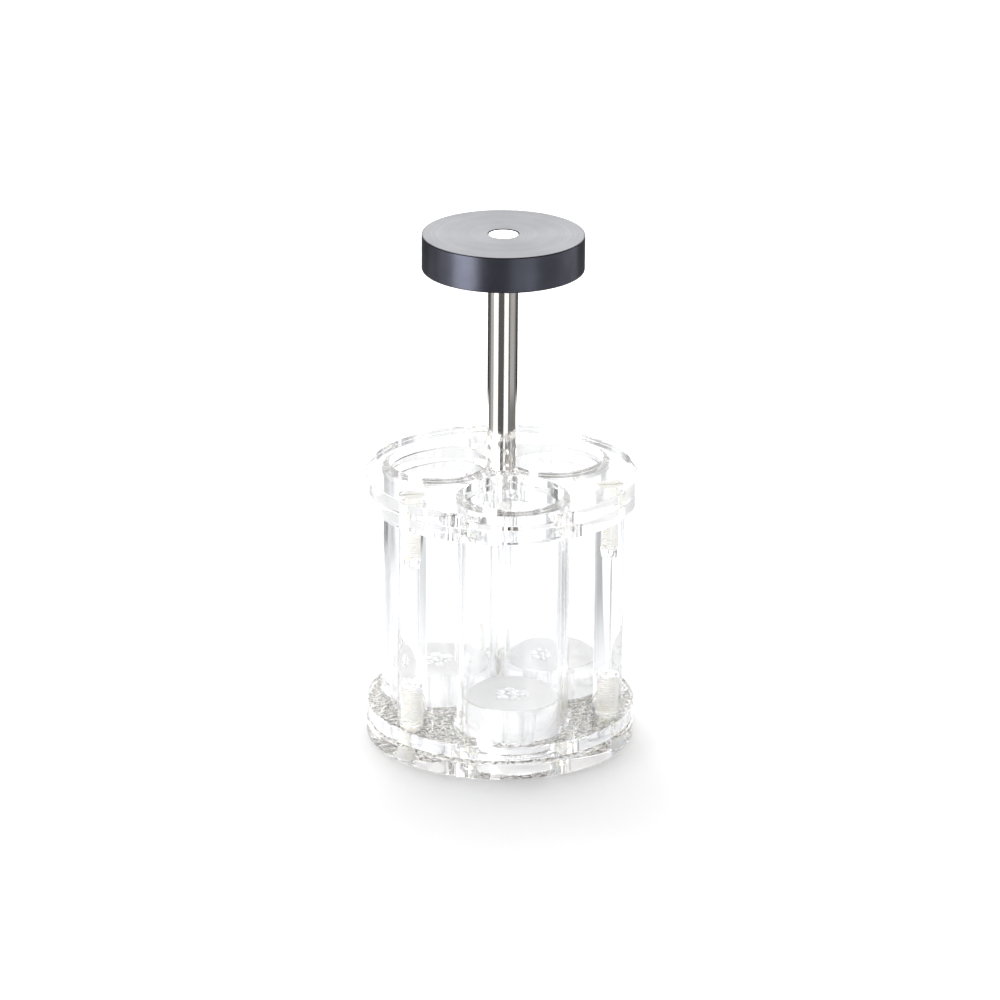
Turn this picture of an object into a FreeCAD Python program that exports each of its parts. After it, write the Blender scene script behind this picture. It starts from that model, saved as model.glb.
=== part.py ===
import FreeCAD, Part
import math
import os

import Sketcher

# Basket rack of a tablet disintegration tester, in millimetres.
# The rack stands on its base plate, and the origin is the centre of that plate's underside.
# +Z is up, and the front tube is towards -Y.
# From the floor up come the base plate, the woven gauze, the seat plate, three tubes and three pillars,
# the guide plate, the cover plate, and the rod with the disc that the drive carries.

SIZES = (
    # Plates: their width follows from the tubes and the rim outside them
    ("plate_rim", 3.65),
    ("base_thickness", 5.5),
    ("seat_thickness", 5.0),
    ("guide_thickness", 5.0),
    ("cover_thickness", 5.0),
    ("plate_edge_break", 0.25),
    # Gauze: plain weave of round wire with square openings
    ("wire_diameter", 0.63),
    ("mesh_opening", 2.0),
    ("weave_angle", 26.0),
    # Tubes: their circle follows from the web of plate left between two of their holes
    ("tube_count", 3),
    ("front_angle", -90.0),
    ("tube_bore", 33.0),
    ("tube_wall", 2.5),
    ("tube_fit_gap", 0.05),
    ("tube_web", 1.4),
    # Pillars
    ("pillar_edge_distance", 6.9),
    ("pillar_diameter", 10.0),
    ("pillar_height", 72.0),
    # Plastic screws from above into the pillars
    ("top_screw_shank", 4.0),
    ("top_screw_head", 8.0),
    ("top_screw_head_rim", 0.3),
    ("top_screw_length", 22.5),
    ("top_screw_slot_width", 1.1),
    ("top_screw_slot_depth", 1.2),
    ("top_screw_bore_spare", 3.5),
    # Plastic screws from below into the pillars
    ("foot_screw_shank", 5.0),
    ("foot_screw_head", 9.2),
    ("foot_screw_head_rim", 0.35),
    ("foot_screw_length", 25.0),
    ("foot_screw_slot_width", 1.2),
    ("foot_screw_slot_depth", 1.4),
    ("foot_screw_bore_spare", 2.2),
    # What both kinds of plastic screw share
    ("head_sink", 0.15),
    ("screw_gap", 0.05),
    ("cone_angle", 90.0),
    # Perforated discs that rest on the gauze
    ("weight_gap", 0.8),
    ("weight_height", 15.3),
    ("weight_hole", 3.15),
    ("weight_hole_circle_radius", 4.2),
    ("weight_ring_holes", 6),
    ("weight_edge_break", 0.3),
    # Rod
    ("rod_diameter", 10.0),
    ("rod_length", 82.5),
    ("rod_foot_bevel", 1.2),
    ("rod_top_bevel", 0.3),
    ("rod_bore_spare", 2.0),
    # Hanger disc
    ("hanger_diameter", 54.0),
    ("hanger_height", 12.0),
    ("hanger_edge_break", 0.35),
    ("hanger_bore_bevel", 0.35),
    ("hanger_fit_gap", 0.02),
    ("rod_end_sink", 0.2),
    # Screw that holds the rod
    ("rod_screw_shank", 4.0),
    ("rod_screw_head_gap", 0.3),
    ("rod_screw_head_height", 4.0),
    ("rod_screw_head_bevel", 0.3),
    ("rod_screw_length", 20.0),
    ("rod_screw_socket", 3.0),
    ("rod_screw_socket_sides", 6),
    ("rod_screw_socket_depth", 2.0),
    ("rod_screw_gap", 0.15),
    # How far a cutting tool runs past what it cuts
    ("overrun", 1.0),
)

doc = FreeCAD.newDocument("basket_rack")
sheet = doc.addObject("Spreadsheet::Sheet", "sizes")
for row, (alias, number) in enumerate(SIZES, start=1):
    sheet.set(f"A{row}", alias)
    sheet.set(f"B{row}", str(number))
    sheet.setAlias(f"B{row}", alias)
doc.recompute()

# Levels, widths and radii that several pieces share, as expressions on the sheet
HALF_STEP = "(180 / sizes.tube_count)"
TUBE_OUTER = "(sizes.tube_bore + 2 * sizes.tube_wall)"
TUBE_HOLE = f"({TUBE_OUTER} + 2 * sizes.tube_fit_gap)"
TUBE_CIRCLE = f"(({TUBE_HOLE} + sizes.tube_web) / 2 / sin({HALF_STEP}))"
HALF_PLATE = f"({TUBE_CIRCLE} + {TUBE_HOLE} / 2 + sizes.plate_rim)"
PILLAR_CIRCLE = f"({HALF_PLATE} - sizes.pillar_edge_distance)"
PITCH = "(sizes.mesh_opening + sizes.wire_diameter)"
BASE_TOP = "sizes.base_thickness"
GAUZE_TOP = f"({BASE_TOP} + 2 * sizes.wire_diameter)"
SEAT_TOP = f"({GAUZE_TOP} + sizes.seat_thickness)"
GUIDE_BOTTOM = f"({SEAT_TOP} + sizes.pillar_height)"
GUIDE_TOP = f"({GUIDE_BOTTOM} + sizes.guide_thickness)"
COVER_TOP = f"({GUIDE_TOP} + sizes.cover_thickness)"
ROD_TOP = f"({COVER_TOP} + sizes.rod_length)"
HANGER_BOTTOM = f"({ROD_TOP} + sizes.rod_end_sink - sizes.hanger_height)"
TOP_SCREW_HOLE = "(sizes.top_screw_shank + 2 * sizes.screw_gap)"
FOOT_SCREW_HOLE = "(sizes.foot_screw_shank + 2 * sizes.screw_gap)"
ROD_SCREW_HOLE = "(sizes.rod_screw_shank + 2 * sizes.rod_screw_gap)"
TOP_BITE = "(sizes.top_screw_length + sizes.head_sink - sizes.cover_thickness - sizes.guide_thickness)"
FOOT_BITE = f"(sizes.foot_screw_length + sizes.head_sink - {SEAT_TOP})"
ROD_BITE = "(sizes.rod_screw_length - sizes.guide_thickness - sizes.cover_thickness)"

# Names of the tubes and of the pillars between them, anticlockwise from the front tube as seen from above
TUBE_NAMES = ("front", "rear_right", "rear_left")
PILLAR_NAMES = ("right", "back", "left")


def value(expression):
    """The number that an expression on the sheet gives now."""
    return float(sheet.evalExpression(expression))


def tube_angle(index):
    """The direction of a tube from the axis, in degrees from +X."""
    return f"(sizes.front_angle + {index} * 2 * {HALF_STEP})"


def pillar_angle(index):
    """The direction of a pillar, half a step on from the tube of the same count."""
    return f"({tube_angle(index)} + {HALF_STEP})"


def ring_place(radius, angle):
    """Where an angle falls on a circle about the axis."""
    turn = math.radians(value(angle))
    return value(radius) * math.cos(turn), value(radius) * math.sin(turn)


def new_body(label):
    """An empty body whose label names its piece."""
    body = doc.addObject("PartDesign::Body", label)
    body.Label = label
    return body


def new_sketch(body, name, plane):
    """A sketch on one of the body's own origin planes."""
    sketch = body.newObject("Sketcher::SketchObject", f"{body.Name}_{name}")
    features = body.Origin.OriginFeatures
    sketch.AttachmentSupport = (next(f for f in features if f.Role == plane), "")
    sketch.MapMode = "FlatFace"
    return sketch


def bind(sketch, constraint, name, expression):
    """Adds a constraint and ties it to the sheet."""
    index = sketch.addConstraint(constraint)
    sketch.renameConstraint(index, name)
    sketch.setExpression(f"Constraints.{name}", expression)


def circle(sketch, name, diameter, away=None):
    """A circle about the sketch's origin, or below it at a distance on the vertical axis."""
    drop = value(away) if away else 0
    centre = FreeCAD.Vector(0, -drop, 0)
    shape = Part.Circle(centre, FreeCAD.Vector(0, 0, 1), value(diameter) / 2)
    curve = sketch.addGeometry(shape)
    if away:
        sketch.addConstraint(Sketcher.Constraint("PointOnObject", curve, 3, -2))
        bind(sketch, Sketcher.Constraint("Distance", curve, 3, -1, 1, drop), f"{name}_away", away)
    else:
        sketch.addConstraint(Sketcher.Constraint("Coincident", curve, 3, -1, 1))
    bind(sketch, Sketcher.Constraint("Diameter", curve, value(diameter)), name, diameter)


def chain(sketch, corners):
    """Closed straight sides through corners given as numbers, each side joined to the next."""
    places = [FreeCAD.Vector(*corner, 0) for corner in corners]
    pairs = zip(places, places[1:] + places[:1])
    lines = [sketch.addGeometry(Part.LineSegment(start, end)) for start, end in pairs]
    for line, following in zip(lines, lines[1:] + lines[:1]):
        sketch.addConstraint(Sketcher.Constraint("Coincident", line, 2, following, 1))
    return lines


def outline(sketch, points):
    """A closed outline through points given as pairs of expressions, where None is a place on that axis."""
    lines = chain(sketch, [[value(part) if part else 0 for part in point] for point in points])
    for index, (line, (across, up)) in enumerate(zip(lines, points)):
        if across:
            there = Sketcher.Constraint("DistanceX", line, 1, value(across))
            bind(sketch, there, f"across_{index}", across)
        else:
            sketch.addConstraint(Sketcher.Constraint("PointOnObject", line, 1, -2))
        if up:
            there = Sketcher.Constraint("DistanceY", line, 1, value(up))
            bind(sketch, there, f"up_{index}", up)
        else:
            sketch.addConstraint(Sketcher.Constraint("PointOnObject", line, 1, -1))


def pad(body, name, sketch, height):
    """Raises a sketch by a height."""
    feature = body.newObject("PartDesign::Pad", f"{body.Name}_{name}")
    feature.Profile = sketch
    feature.setExpression("Length", height)
    doc.recompute()
    return feature


def revolve(body, name, points):
    """Turns an outline in the XZ plane about the body's Z axis."""
    sketch = new_sketch(body, f"{name}_outline", "XZ_Plane")
    outline(sketch, points)
    feature = body.newObject("PartDesign::Revolution", f"{body.Name}_{name}")
    feature.Profile = sketch
    feature.ReferenceAxis = (sketch, ["V_Axis"])
    feature.Angle = 360
    doc.recompute()
    return feature


def must_cut(body, before):
    """Stops when a cut took nothing away."""
    if body.Shape.Volume >= before:
        raise RuntimeError(f"a cut in {body.Label} removed nothing")


def pocket(body, name, sketch, depth=None, upwards=True, copies=None):
    """Cuts a sketch through the body or to a depth, and repeats the cut about the Z axis."""
    before = body.Shape.Volume
    feature = body.newObject("PartDesign::Pocket", f"{body.Name}_{name}")
    feature.Profile = sketch
    feature.Reversed = upwards
    if depth:
        feature.Type = "Length"
        feature.setExpression("Length", depth)
    else:
        feature.Type = "ThroughAll"
    doc.recompute()
    must_cut(body, before)
    if copies:
        repeat(body, name, feature, sketch, copies)


def repeat(body, name, feature, sketch, copies):
    """Repeats a cut evenly about the body's Z axis."""
    before = body.Shape.Volume
    pattern = body.newObject("PartDesign::PolarPattern", f"{body.Name}_{name}_ring")
    pattern.Originals = [feature]
    pattern.Axis = (sketch, ["N_Axis"])
    pattern.Angle = 360
    pattern.setExpression("Occurrences", copies)
    body.Tip = pattern
    doc.recompute()
    must_cut(body, before)


def break_edges(body, name, size, radius):
    """Bevels every circular edge of a radius."""
    tip = body.Tip
    before = body.Shape.Volume
    edges = []
    for index, edge in enumerate(tip.Shape.Edges, start=1):
        if isinstance(edge.Curve, Part.Circle) and math.isclose(edge.Curve.Radius, value(radius)):
            edges.append(f"Edge{index}")
    feature = body.newObject("PartDesign::Chamfer", f"{body.Name}_{name}")
    feature.Base = (tip, edges)
    feature.setExpression("Size", size)
    doc.recompute()
    must_cut(body, before)


def place(item, radius=None, angle=None, height=None):
    """Stands a piece at a height and, off the axis, at a radius in a direction."""
    if radius:
        item.setExpression(".Placement.Base.x", f"{radius} * cos({angle})")
        item.setExpression(".Placement.Base.y", f"{radius} * sin({angle})")
    if height:
        item.setExpression(".Placement.Base.z", height)


def plate(label, thickness, bore, height=None):
    """A round clear plate with a ring of tube bores."""
    body = new_body(label)
    sketch = new_sketch(body, "rim", "XY_Plane")
    circle(sketch, "rim_diameter", f"2 * {HALF_PLATE}")
    pad(body, "slab", sketch, thickness)
    break_edges(body, "edge_break", "sizes.plate_edge_break", HALF_PLATE)
    bores = new_sketch(body, "bores", "XY_Plane")
    circle(bores, "bore_diameter", bore, TUBE_CIRCLE)
    pocket(body, "bore", bores, copies="sizes.tube_count")
    place(body, height=height)
    return body


def screw_holes(body, hole):
    """A ring of plain holes over the pillars, half a step round from the tubes."""
    sketch = new_sketch(body, "screw_holes", "XY_Plane")
    sketch.setExpression(".AttachmentOffset.Rotation.Angle", HALF_STEP)
    circle(sketch, "screw_hole", hole, PILLAR_CIRCLE)
    pocket(body, "screw_hole", sketch, copies="sizes.tube_count")


def sunk_screw_holes(body, prefix, hole, height=None):
    """A ring of holes with conical seats for sunk screw heads, from below or, at a height, from above."""
    mouth = f"(sizes.{prefix}_head + 2 * (sizes.head_sink + sizes.{prefix}_head_rim + sizes.screw_gap))"
    sketch = new_sketch(body, "screw_holes", "XY_Plane")
    sketch.setExpression(".AttachmentOffset.Rotation.Angle", HALF_STEP)
    if height:
        sketch.setExpression(".AttachmentOffset.Base.z", height)
    circle(sketch, "screw_hole", hole, PILLAR_CIRCLE)
    doc.recompute()
    before = body.Shape.Volume
    feature = body.newObject("PartDesign::Hole", f"{body.Name}_sunk_hole")
    feature.Profile = sketch
    feature.Reversed = height is None
    feature.DepthType = "ThroughAll"
    feature.DrillPoint = "Flat"
    feature.setExpression("Diameter", hole)
    feature.HoleCutType = "Countersink"
    feature.HoleCutCustomValues = True
    feature.setExpression("HoleCutDiameter", mouth)
    feature.setExpression("HoleCutCountersinkAngle", "sizes.cone_angle")
    doc.recompute()
    must_cut(body, before)
    repeat(body, "sunk_hole", feature, sketch, "sizes.tube_count")


def centre_hole(body):
    """The hole on the axis for the rod's screw."""
    sketch = new_sketch(body, "centre_hole", "XY_Plane")
    circle(sketch, "centre_hole", ROD_SCREW_HOLE)
    pocket(body, "centre_hole", sketch)


def base_plate():
    """The bottom plate, with bores the width of the tubes' inside and seats for the screws from below."""
    body = plate("base_plate", "sizes.base_thickness", "sizes.tube_bore")
    sunk_screw_holes(body, "foot_screw", FOOT_SCREW_HOLE)


def seat_plate():
    """The plate that holds the tubes' feet and presses the gauze down."""
    body = plate("seat_plate", "sizes.seat_thickness", TUBE_HOLE, GAUZE_TOP)
    screw_holes(body, FOOT_SCREW_HOLE)


def guide_plate():
    """The plate that holds the tubes' upper ends."""
    body = plate("guide_plate", "sizes.guide_thickness", TUBE_HOLE, GUIDE_BOTTOM)
    screw_holes(body, TOP_SCREW_HOLE)
    centre_hole(body)


def cover_plate():
    """The top plate, whose narrower bores keep the tubes down."""
    body = plate("cover_plate", "sizes.cover_thickness", "sizes.tube_bore", GUIDE_TOP)
    sunk_screw_holes(body, "top_screw", TOP_SCREW_HOLE, "sizes.cover_thickness")
    centre_hole(body)


def wire_spans(offset, turn):
    """Where one wire of the gauze runs, as spans along it that stay inside the rim and clear of the screws."""
    half = value("sizes.wire_diameter") / 2
    reach = value(HALF_PLATE)
    keep_out = value(FOOT_SCREW_HOLE) / 2
    if abs(offset) + half >= reach:
        return []
    end = math.sqrt(reach ** 2 - (abs(offset) + half) ** 2)
    spans = [(-end, end)]
    for index in range(len(PILLAR_NAMES)):
        x, y = ring_place(PILLAR_CIRCLE, pillar_angle(index))
        along = x * math.cos(turn) + y * math.sin(turn)
        across = y * math.cos(turn) - x * math.sin(turn)
        aside = max(abs(across - offset) - half, 0)
        if aside >= keep_out:
            continue
        gap = math.sqrt(keep_out ** 2 - aside ** 2)
        before = [(start, min(stop, along - gap)) for start, stop in spans]
        after = [(max(start, along + gap), stop) for start, stop in spans]
        spans = [(start, stop) for start, stop in before + after if start < stop]
    return spans


def wire_set(turn):
    """Every span of one set of wires that lie side by side, each with the wire's offset from the middle."""
    pitch = value(PITCH)
    steps = math.ceil(value(HALF_PLATE) / pitch)
    offsets = [(step + 1 / 2) * pitch for step in range(-steps, steps)]
    return [(offset, start, stop) for offset in offsets for start, stop in wire_spans(offset, turn)]


def crosses(lower, upper):
    """Whether an upper wire, a quarter turn round from the lower one, lies across it over its full width."""
    half = value("sizes.wire_diameter") / 2
    offset, start, stop = lower
    other_offset, other_start, other_stop = upper
    on_lower = start + half <= -other_offset <= stop - half
    return on_lower and other_start + half <= offset <= other_stop - half


def wire_bars(wires, turn, level):
    """Straight square bars for one set of wires."""
    side = value("sizes.wire_diameter")
    bars = []
    for offset, start, stop in wires:
        bar = Part.makeBox(stop - start, side, side, FreeCAD.Vector(start, offset - side / 2, level))
        bar.rotate(FreeCAD.Vector(), FreeCAD.Vector(0, 0, 1), math.degrees(turn))
        bars.append(bar)
    return bars


def gauze():
    """The gauze as two sets of straight wires, one lying across the other and joined where they cross."""
    turn = math.radians(value("sizes.weave_angle"))
    quarter = math.pi / 2
    lower = wire_set(turn)
    upper = wire_set(turn + quarter)
    kept_lower = [wire for wire in lower if sum(crosses(wire, other) for other in upper) > 1]
    kept_upper = [wire for wire in upper if sum(crosses(other, wire) for other in lower) > 1]
    bars = wire_bars(kept_lower, turn, 0)
    bars += wire_bars(kept_upper, turn + quarter, value("sizes.wire_diameter"))
    item = doc.addObject("Part::Feature", "gauze")
    item.Shape = bars[0].multiFuse(bars[1:])
    item.Label = "gauze"
    place(item, height=BASE_TOP)
    return len(bars)


def tube(name, angle):
    """A clear tube from the gauze to the underside of the cover plate."""
    body = new_body(f"tube_{name}")
    sketch = new_sketch(body, "ring", "XY_Plane")
    circle(sketch, "outer_diameter", TUBE_OUTER)
    circle(sketch, "inner_diameter", "sizes.tube_bore")
    pad(body, "wall", sketch, f"{GUIDE_TOP} - {GAUZE_TOP}")
    place(body, TUBE_CIRCLE, angle, GAUZE_TOP)


def pillar(name, angle):
    """A clear round pillar, bored at both ends for its screws."""
    body = new_body(f"pillar_{name}")
    half = "sizes.pillar_diameter / 2"
    foot = f"{FOOT_SCREW_HOLE} / 2"
    head = f"{TOP_SCREW_HOLE} / 2"
    foot_end = f"{FOOT_BITE} + sizes.foot_screw_bore_spare"
    head_end = f"sizes.pillar_height - {TOP_BITE} - sizes.top_screw_bore_spare"
    revolve(body, "bar", (
        (None, foot_end),
        (foot, foot_end),
        (foot, None),
        (half, None),
        (half, "sizes.pillar_height"),
        (head, "sizes.pillar_height"),
        (head, head_end),
        (None, head_end),
    ))
    place(body, PILLAR_CIRCLE, angle, SEAT_TOP)


def sunk_screw(label, prefix, angle, from_above):
    """A slotted plastic screw with a sunk head, made tip down and turned over when it comes from below."""
    body = new_body(label)
    size = f"sizes.{prefix}"
    rim_low = f"{size}_length - {size}_head_rim"
    cone_low = f"{rim_low} - ({size}_head - {size}_shank) / 2 / tan(sizes.cone_angle / 2)"
    revolve(body, "turned", (
        (None, None),
        (f"{size}_shank / 2", None),
        (f"{size}_shank / 2", cone_low),
        (f"{size}_head / 2", rim_low),
        (f"{size}_head / 2", f"{size}_length"),
        (None, f"{size}_length"),
    ))
    sketch = new_sketch(body, "slot", "XY_Plane")
    sketch.setExpression(".AttachmentOffset.Base.z", f"{size}_length")
    run = f"{size}_head + 2 * sizes.overrun"
    width = f"{size}_slot_width"
    x = value(run) / 2
    y = value(width) / 2
    slot = chain(sketch, ((-x, -y), (x, -y), (x, y), (-x, y)))
    for line, way in zip(slot, ("Horizontal", "Vertical", "Horizontal", "Vertical")):
        sketch.addConstraint(Sketcher.Constraint(way, line))
    sketch.addConstraint(Sketcher.Constraint("Symmetric", slot[0], 1, slot[1], 2, -1, 1))
    bind(sketch, Sketcher.Constraint("Distance", slot[0], value(run)), "run", run)
    bind(sketch, Sketcher.Constraint("Distance", slot[1], value(width)), "width", width)
    pocket(body, "slot_cut", sketch, depth=f"{size}_slot_depth", upwards=False)
    if from_above:
        place(body, PILLAR_CIRCLE, angle, f"{COVER_TOP} - sizes.head_sink - {size}_length")
    else:
        body.Placement.Rotation = FreeCAD.Rotation(FreeCAD.Vector(1, 0, 0), 180)
        place(body, PILLAR_CIRCLE, angle, f"sizes.head_sink + {size}_length")


def weight(name, angle):
    """A clear perforated disc that lies on the gauze inside its tube."""
    body = new_body(f"weight_{name}")
    width = "(sizes.tube_bore - 2 * sizes.weight_gap)"
    sketch = new_sketch(body, "rim", "XY_Plane")
    circle(sketch, "rim_diameter", width)
    pad(body, "slug", sketch, "sizes.weight_height")
    break_edges(body, "edge_break", "sizes.weight_edge_break", f"{width} / 2")
    middle = new_sketch(body, "middle_hole", "XY_Plane")
    circle(middle, "middle_hole", "sizes.weight_hole")
    pocket(body, "middle_hole_cut", middle)
    ring = new_sketch(body, "ring_hole", "XY_Plane")
    circle(ring, "ring_hole", "sizes.weight_hole", "sizes.weight_hole_circle_radius")
    pocket(body, "ring_hole_cut", ring, copies="sizes.weight_ring_holes")
    place(body, TUBE_CIRCLE, angle, GAUZE_TOP)


def rod():
    """The steel rod, bored from below for its screw."""
    body = new_body("rod")
    half = "sizes.rod_diameter / 2"
    bore = f"{ROD_SCREW_HOLE} / 2"
    bore_end = f"{ROD_BITE} + sizes.rod_bore_spare"
    revolve(body, "bar", (
        (None, bore_end),
        (bore, bore_end),
        (bore, None),
        (f"{half} - sizes.rod_foot_bevel", None),
        (half, "sizes.rod_foot_bevel"),
        (half, "sizes.rod_length - sizes.rod_top_bevel"),
        (f"{half} - sizes.rod_top_bevel", "sizes.rod_length"),
        (None, "sizes.rod_length"),
    ))
    place(body, height=COVER_TOP)


def hanger_disc():
    """The black disc on the rod's upper end, by which the drive carries the rack."""
    body = new_body("hanger_disc")
    rim = "sizes.hanger_diameter / 2"
    bore = "sizes.rod_diameter / 2 + sizes.hanger_fit_gap"
    edge = "sizes.hanger_edge_break"
    bevel = "sizes.hanger_bore_bevel"
    top = "sizes.hanger_height"
    revolve(body, "turned", (
        (bore, None),
        (f"{rim} - {edge}", None),
        (rim, edge),
        (rim, f"{top} - {edge}"),
        (f"{rim} - {edge}", top),
        (f"{bore} + {bevel}", top),
        (bore, f"{top} - {bevel}"),
    ))
    place(body, height=HANGER_BOTTOM)


def rod_screw():
    """The steel socket head screw that pulls the rod down on the cover plate."""
    body = new_body("rod_screw")
    size = "sizes.rod_screw"
    half_head = f"({TUBE_CIRCLE} - {TUBE_OUTER} / 2 - {size}_head_gap)"
    bevel = f"{size}_head_bevel"
    revolve(body, "turned", (
        (None, None),
        (f"{half_head} - {bevel}", None),
        (half_head, bevel),
        (half_head, f"{size}_head_height"),
        (f"{size}_shank / 2", f"{size}_head_height"),
        (f"{size}_shank / 2", f"{size}_head_height + {size}_length"),
        (None, f"{size}_head_height + {size}_length"),
    ))
    socket = new_sketch(body, "socket", "XY_Plane")
    half_side = f"180 / {size}_socket_sides"
    corner = f"{size}_socket / 2 / cos({half_side})"
    radius = value(corner)
    corners = []
    for index in range(int(value(f"{size}_socket_sides"))):
        turn = math.radians(2 * index * value(half_side))
        corners.append((radius * math.cos(turn), radius * math.sin(turn)))
    sides = chain(socket, corners)
    ring = socket.addGeometry(Part.Circle(FreeCAD.Vector(), FreeCAD.Vector(0, 0, 1), radius), True)
    socket.addConstraint(Sketcher.Constraint("Coincident", ring, 3, -1, 1))
    for side in sides:
        socket.addConstraint(Sketcher.Constraint("PointOnObject", side, 1, ring))
    for side in sides[1:]:
        socket.addConstraint(Sketcher.Constraint("Equal", sides[0], side))
    socket.addConstraint(Sketcher.Constraint("PointOnObject", sides[0], 1, -1))
    bind(socket, Sketcher.Constraint("Radius", ring, radius), "corner_radius", corner)
    pocket(body, "socket_cut", socket, depth=f"{size}_socket_depth")
    place(body, height=f"{GUIDE_BOTTOM} - {size}_head_height")


base_plate()
bar_count = gauze()
seat_plate()
guide_plate()
cover_plate()
for index, name in enumerate(TUBE_NAMES):
    tube(name, tube_angle(index))
    weight(name, tube_angle(index))
for index, name in enumerate(PILLAR_NAMES):
    pillar(name, pillar_angle(index))
    sunk_screw(f"top_screw_{name}", "top_screw", pillar_angle(index), from_above=True)
    sunk_screw(f"foot_screw_{name}", "foot_screw", pillar_angle(index), from_above=False)
rod()
hanger_disc()
rod_screw()
doc.recompute()

# Every object must be sound before anything is written
for item in doc.Objects:
    if any(word in item.State for word in ("Invalid", "Error")):
        raise RuntimeError(f"{item.Name} failed: {item.State}")
pieces = [item for item in doc.Objects if item.TypeId in ("PartDesign::Body", "Part::Feature")]
for item in pieces:
    if item.Shape.isNull() or not item.Shape.isValid() or len(item.Shape.Solids) != 1:
        raise RuntimeError(f"{item.Label} is not one sound solid")

os.makedirs("parts", exist_ok=True)
for item in pieces:
    item.Shape.exportStep(os.path.join("parts", f"{item.Label}.step"))
height = value(f"{HANGER_BOTTOM} + sizes.hanger_height")
print(f"{len(pieces)} pieces, {bar_count} wires in the gauze, height {height:.2f} mm")
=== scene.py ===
import math
from collections import namedtuple

import bmesh
import bpy
from mathutils import Matrix, Vector


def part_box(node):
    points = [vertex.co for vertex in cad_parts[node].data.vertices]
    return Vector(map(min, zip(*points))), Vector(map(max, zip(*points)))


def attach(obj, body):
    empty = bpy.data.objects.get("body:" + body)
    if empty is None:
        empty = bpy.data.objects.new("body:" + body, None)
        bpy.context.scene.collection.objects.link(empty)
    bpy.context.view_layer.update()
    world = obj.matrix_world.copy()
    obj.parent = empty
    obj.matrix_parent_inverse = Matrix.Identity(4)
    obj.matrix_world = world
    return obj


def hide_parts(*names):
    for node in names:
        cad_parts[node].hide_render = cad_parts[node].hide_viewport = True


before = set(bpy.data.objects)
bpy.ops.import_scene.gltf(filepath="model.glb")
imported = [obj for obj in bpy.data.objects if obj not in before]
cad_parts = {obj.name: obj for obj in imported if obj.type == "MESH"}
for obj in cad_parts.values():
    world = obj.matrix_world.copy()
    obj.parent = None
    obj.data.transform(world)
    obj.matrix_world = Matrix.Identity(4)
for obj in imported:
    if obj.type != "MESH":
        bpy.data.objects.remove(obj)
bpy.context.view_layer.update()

MM = 0.001
FULL = 2 * math.pi

# Sizes that the frame's boxes don't give, in metres
TUBE_BORE_RADIUS = 16.5 * MM
TUBE_RADIUS = 19.0 * MM
TUBE_HOLE_RADIUS = 19.05 * MM
PLATE_EDGE = 0.25 * MM
BORE_EDGE = 0.2 * MM
FINE_EDGE = 0.12 * MM
WIRE_RADIUS = 0.315 * MM
WEAVE_PITCH = 2.63 * MM
WEAVE_ANGLE = math.radians(26)
WEIGHT_EDGE = 0.3 * MM
WEIGHT_HOLE_RADIUS = 1.575 * MM
WEIGHT_HOLE_CIRCLE = 4.2 * MM
# A thread's depth, as a share of its pitch
THREAD_SHARE = 0.46
# A plastic screw: shank, head, the head's straight rim, pitch, slot, and how far its hole goes on past its tip:
# the thread, the drilled wall and the drilled point
PlasticScrew = namedtuple("PlasticScrew", "radius head rim pitch slot_width slot_depth past")
TOP_SCREW = PlasticScrew(
    2.0 * MM, 4.0 * MM, 0.3 * MM, 0.7 * MM, 1.1 * MM, 1.2 * MM, (0.2 * MM, 2.9 * MM, 3.9 * MM))
FOOT_SCREW = PlasticScrew(
    2.5 * MM, 4.6 * MM, 0.35 * MM, 0.8 * MM, 1.2 * MM, 1.4 * MM, (0.2 * MM, 1.6 * MM, 2.9 * MM))
# The plastic screws bite this much into the acrylic, and their heads lie this much below its face
SCREW_BITE = 0.01 * MM
HEAD_SINK = 0.15 * MM
ROD_SCREW_RADIUS = 2.0 * MM
ROD_SCREW_GAP = 0.15 * MM
ROD_SCREW_HEAD_HEIGHT = 4.0 * MM
ROD_SCREW_PITCH = 0.7 * MM
ROD_SCREW_PLAIN = 6.0 * MM
ROD_HOLE_PAST = (0.3 * MM, 1.0 * MM, 2.2 * MM)
SOCKET_WIDTH = 3.0 * MM
SOCKET_DEPTH = 2.0 * MM
ROD_FOOT_BEVEL = 1.2 * MM
ROD_TOP_BEVEL = 0.2 * MM
HANGER_EDGE = 0.35 * MM
HANGER_FIT = 0.02 * MM
# Clear pieces that touch are drawn this much short of each other, so that each keeps its own surface
SKIN = 0.012 * MM

# The photograph's camera
AZIMUTH = math.radians(-9.79)
ELEVATION = math.radians(20.376)
DISTANCE = 1.6576
CAMERA_LENS = 177.42
CAMERA_ROLL = math.radians(0.422)
AIM_ASIDE = -0.515 * MM
AIM_HEIGHT = 82.75 * MM

TUBES = ("front", "rear_right", "rear_left")
PILLARS = ("left", "right", "back")


def centre_of(node):
    """The middle of a node's box."""
    low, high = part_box(node)
    return (low + high) / 2


def levels(node):
    """The lowest and highest z of a node."""
    low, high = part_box(node)
    return low.z, high.z


def clear_levels(node, below=SKIN, above=SKIN):
    """A clear piece's lowest and highest z, drawn short where it touches another one."""
    low, high = levels(node)
    return low + below, high - above


def width_of(node):
    """Half the width of a node's box along X."""
    low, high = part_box(node)
    return (high.x - low.x) / 2


# Mesh building

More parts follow.
